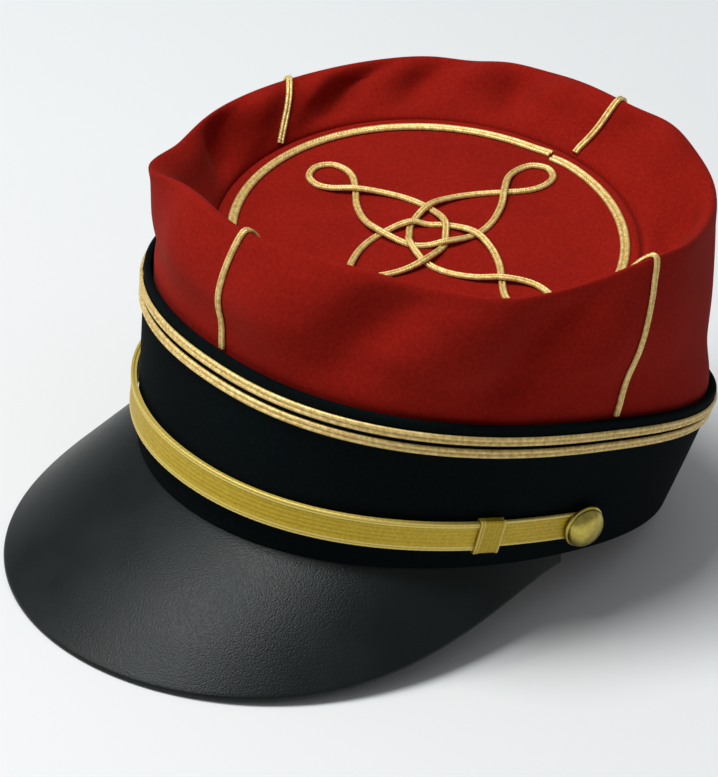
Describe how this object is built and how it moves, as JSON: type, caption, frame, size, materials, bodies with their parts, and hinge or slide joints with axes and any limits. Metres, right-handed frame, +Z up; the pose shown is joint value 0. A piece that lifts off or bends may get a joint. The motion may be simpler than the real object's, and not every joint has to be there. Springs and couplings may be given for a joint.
{
  "type": "kepi cap",
  "caption": "Soft red kepi with a dark cloth band, sunken braided top, drooping black leather visor and a gold false chin strap held by domed buttons.",
  "frame": {"origin": "centre of the bounding box on the table the cap rests on", "axes": "+Z up from the table, -Y to the front where the visor points, +X to the wearer's left"},
  "size_m": [0.185, 0.255, 0.1371],
  "materials": {
    "red_wool": "brushed wool cloth, matt",
    "black_wool": "dense wool cloth, matt",
    "black_leather": "fine grain, semi-gloss",
    "gold_braid": "metallic thread soutache",
    "gold_lace": "woven metallic lace",
    "gilt_button": "satin gilt"
  },
  "bodies": {
    "root": {"band": "black_wool", "band_braid_upper": "gold_braid", "band_braid_lower": "gold_braid", "crown_wall": "red_wool", "crown_braid_front": "gold_braid", "crown_braid_left": "gold_braid", "crown_braid_back": "gold_braid", "crown_braid_right": "gold_braid", "crown_top": "red_wool", "top_ring_braid": "gold_braid", "top_knot_braid": "gold_braid", "visor": "black_leather", "strap_under": "gold_lace", "strap_over": "gold_lace", "strap_slide_left": "gold_lace", "strap_slide_right": "gold_lace", "button_left": "gilt_button", "button_right": "gilt_button"}
  },
  "joints": []
}
